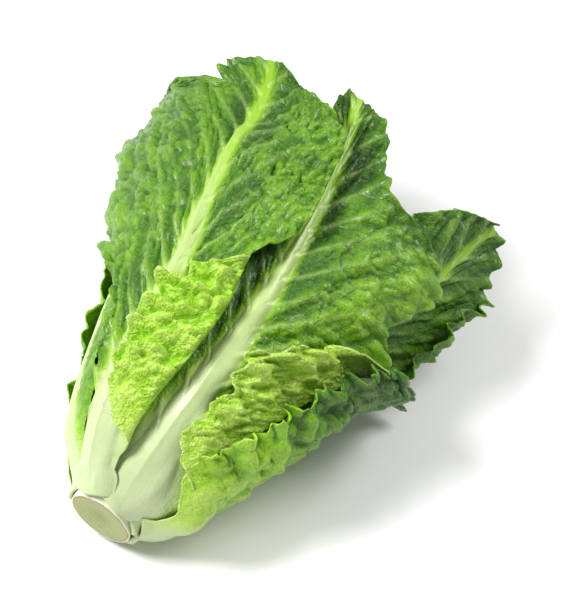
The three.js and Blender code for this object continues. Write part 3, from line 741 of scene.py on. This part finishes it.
# From the heart outwards each leaf is laid over those inside it
gridX = np.arange(headForm["rows"])[:, None] * headForm["stepX"]
reached = np.repeat(stemRadius(gridX), turnCells, axis=1)
sheets = []
footprints = []
for leaf in leaves:
    sheets.append(layOver(leaf, reached))
    footprints.append(recordReach(leaf, sheets[-1], reached))
cover = np.zeros(reached.shape)
covers = []
for footprint in reversed(footprints):
    covers.insert(0, refine(refine(cover)))
    cover = np.maximum(cover, footprint)
for leaf, sheet, above in zip(leaves, sheets, covers):
    buildLeaf(leaf, sheet, above)
print("leaves built:", len(leaves))


# The stem and its cut face

stemLook = {
    "rings": 60, "sides": 120,
    "faceShare": 0.5,                          # this share of the rings lies on the cut face
    "sawMarks": 0.25, "sawSpacing": 0.7, "sawTurn": 0.7,
    "hollow": 0.7, "faceInset": 0.3,
    "unevenMm": 6.25, "unevenDepthMm": 0.6, "scarMm": 9.524,
    "roughness": 0.42, "glow": 0.2, "glowMm": 2, "glowReach": (1.0, 0.9, 0.5),
    "flesh": "#acb47c", "centre": "#9aa66a", "rim": "#a48a48", "scar": "#98753c", "side": "#e6ead0",
}


def stemMaterial():
    # Freshly cut stem: moist pale flesh that has browned at the rim and in the leaf scars
    look = stemLook
    material, tree, shader = startMaterial("cutStemFlesh")
    place = addNode(tree, "ShaderNodeTexCoord").outputs["Object"]
    fromCentre = addNode(tree, "ShaderNodeAttribute", {"attribute_name": "fromCentre"})
    uneven = addNode(tree, "ShaderNodeTexNoise", {"Scale": 1 / (look["unevenMm"] * mm), "Detail": 4},
                     {"Vector": place})
    wobble = addNode(tree, "ShaderNodeMath", {"operation": "MULTIPLY_ADD", 1: 0.1, 2: -0.05},
                     {0: uneven.outputs["Fac"]})
    ring = addNode(tree, "ShaderNodeMath", {"operation": "ADD"},
                   {0: fromCentre.outputs["Fac"], 1: wobble.outputs[0]})
    stops = [(0.0, look["centre"]), (0.5, look["flesh"]), (0.86, look["flesh"]), (0.93, look["rim"]),
             (0.97, look["side"]), (1.0, look["side"])]
    flesh = addNode(tree, "ShaderNodeValToRGB", {"stops": stops}, {"Fac": ring.outputs[0]})
    scars = addNode(tree, "ShaderNodeTexVoronoi", {"Scale": 1 / (look["scarMm"] * mm)}, {"Vector": place})
    scarSpot = addNode(tree, "ShaderNodeMapRange",
                       {"From Min": 0.06, "From Max": 0.16, "To Min": 0.45, "To Max": 0.0},
                       {"Value": scars.outputs["Distance"]})
    spotted = addNode(tree, "ShaderNodeMix", {"data_type": "RGBA", 7: linearColour(look["scar"])},
                      {0: scarSpot.outputs["Result"], 6: flesh.outputs["Color"]})
    tree.links.new(spotted.outputs[2], shader.inputs["Base Color"])
    bump = addNode(tree, "ShaderNodeBump", {"Strength": 0.4, "Distance": look["unevenDepthMm"] * mm},
                   {"Height": uneven.outputs["Fac"]})
    tree.links.new(bump.outputs["Normal"], shader.inputs["Normal"])
    setInputs(shader, {
        "Roughness": look["roughness"], "Subsurface Weight": look["glow"],
        "Subsurface Radius": look["glowReach"], "Subsurface Scale": look["glowMm"] * mm, "IOR": 1.4,
    })
    return material


def buildStem():
    # One sheet, rolled from the middle of the cut face over the rim and along the stem to its end
    look = stemLook
    piece, flat = addSheet("stem-butt", look["sides"], look["rings"])
    mesh = piece.data
    turn = -flat[:, 0] * math.pi
    run = (flat[:, 1] + 1) / 2
    face = look["faceShare"]
    onFace = np.clip(run / face, 0, 1)
    onSide = np.clip((run - face) / (1 - face), 0, 1)
    faceRadius = stemSkin(0) * onFace
    x = (headForm["stemLength"] - 0.01) * (1 - np.cos(onSide * math.pi / 2)) + 0.4 * smooth(onFace, 0.93, 1)
    radius = np.where(run < face, faceRadius, stemSkin(x) * (1 - onSide ** 12))
    acrossCut = faceRadius * np.cos(turn + look["sawTurn"])
    wander = 1.5 * swells(acrossCut + 40, faceRadius, 6, 5)
    marks = look["sawMarks"] * np.sin(acrossCut / look["sawSpacing"] + wander)
    hollow = look["hollow"] * smooth(onFace, 0.9, 0.1) * (run < face)
    x = x + (marks * (1 - smooth(onFace, 0.8, 0.95)) + look["faceInset"]) * (run < face) + hollow
    points = placeInHead(x, turn, radius)
    mesh.vertices.foreach_set("co", (points * mm).ravel())
    setAttribute(mesh, "fromCentre", np.where(run < face, onFace, 1))
    bpy.ops.object.mode_set(mode="EDIT")
    bpy.ops.mesh.select_all(action="SELECT")
    bpy.ops.mesh.remove_doubles(threshold=0.00002)
    bpy.ops.mesh.normals_make_consistent(inside=False)
    bpy.ops.object.mode_set(mode="OBJECT")
    bpy.ops.object.shade_smooth()
    mesh.materials.append(stemMaterial())
    bpy.ops.object.select_all(action="DESELECT")
    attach(piece, "root")
    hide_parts("stem_core")


buildStem()
print("stem built")


# Table, light and camera

studio = {
    "floor": "#fbfbfa", "floorSize": 8, "ambient": 0.34,
    "cameraAzimuth": -58, "cameraElevation": 55, "cameraDistance": 1.0,
    "pixelsPerMm": 1.915, "buttPixel": (100, 520), "picture": (565, 612),
    "keyPlace": (-0.4, 0.75, 1.15), "keySize": 0.5, "keyPower": 22,
    "fillPlace": (0.9, -0.7, 1.1), "fillSize": 0.6, "fillPower": 14,
}


def buildStudio():
    # Matt white board: even and bright, with a soft shadow and no gloss
    bpy.ops.mesh.primitive_plane_add(size=studio["floorSize"], location=(0, 0, 0))
    floor = bpy.context.active_object
    floor.name = "table"
    material, tree, shader = startMaterial("mattWhiteBoard")
    setInputs(shader, {"Base Color": linearColour(studio["floor"]), "Roughness": 0.9})
    floor.data.materials.append(material)
    for name in ("key", "fill"):
        lamp = bpy.data.lights.new(name + "Light", "AREA")
        lamp.size = studio[name + "Size"]
        lamp.energy = studio[name + "Power"]
        holder = bpy.data.objects.new(name + "Light", lamp)
        holder.location = studio[name + "Place"]
        holder.rotation_euler = Vector(studio[name + "Place"]).to_track_quat("Z", "Y").to_euler()
        bpy.context.scene.collection.objects.link(holder)
    world = bpy.data.worlds.new("studio")
    world.use_nodes = True
    setInputs(world.node_tree.nodes["Background"], {"Color": (1, 1, 1, 1), "Strength": studio["ambient"]})
    bpy.context.scene.world = world
    bpy.context.scene.view_settings.view_transform = "Standard"


def buildCamera():
    # The middle of the butt shows at its pixel of the photograph, at the photograph's scale
    azimuth = math.radians(studio["cameraAzimuth"])
    elevation = math.radians(studio["cameraElevation"])
    away = Vector((math.sin(azimuth) * math.cos(elevation), -math.cos(azimuth) * math.cos(elevation),
                   math.sin(elevation)))
    turn = away.to_track_quat("Z", "Y")
    scale = studio["pixelsPerMm"] / mm
    right = (studio["picture"][0] / 2 - studio["buttPixel"][0]) / scale
    up = (studio["buttPixel"][1] - studio["picture"][1] / 2) / scale
    butt = Vector(shift + np.array([0, 0, headForm["axisLow"]])) * mm
    data = bpy.data.cameras.new("camera")
    data.sensor_fit = "HORIZONTAL"
    data.sensor_width = 36
    data.lens = data.sensor_width * studio["cameraDistance"] * scale / studio["picture"][0]
    camera = bpy.data.objects.new("camera", data)
    camera.location = butt + away * studio["cameraDistance"] + turn @ Vector((right, up, 0))
    camera.rotation_euler = turn.to_euler()
    bpy.context.scene.collection.objects.link(camera)
    bpy.context.scene.camera = camera


buildStudio()
buildCamera()
print("studio and camera set")
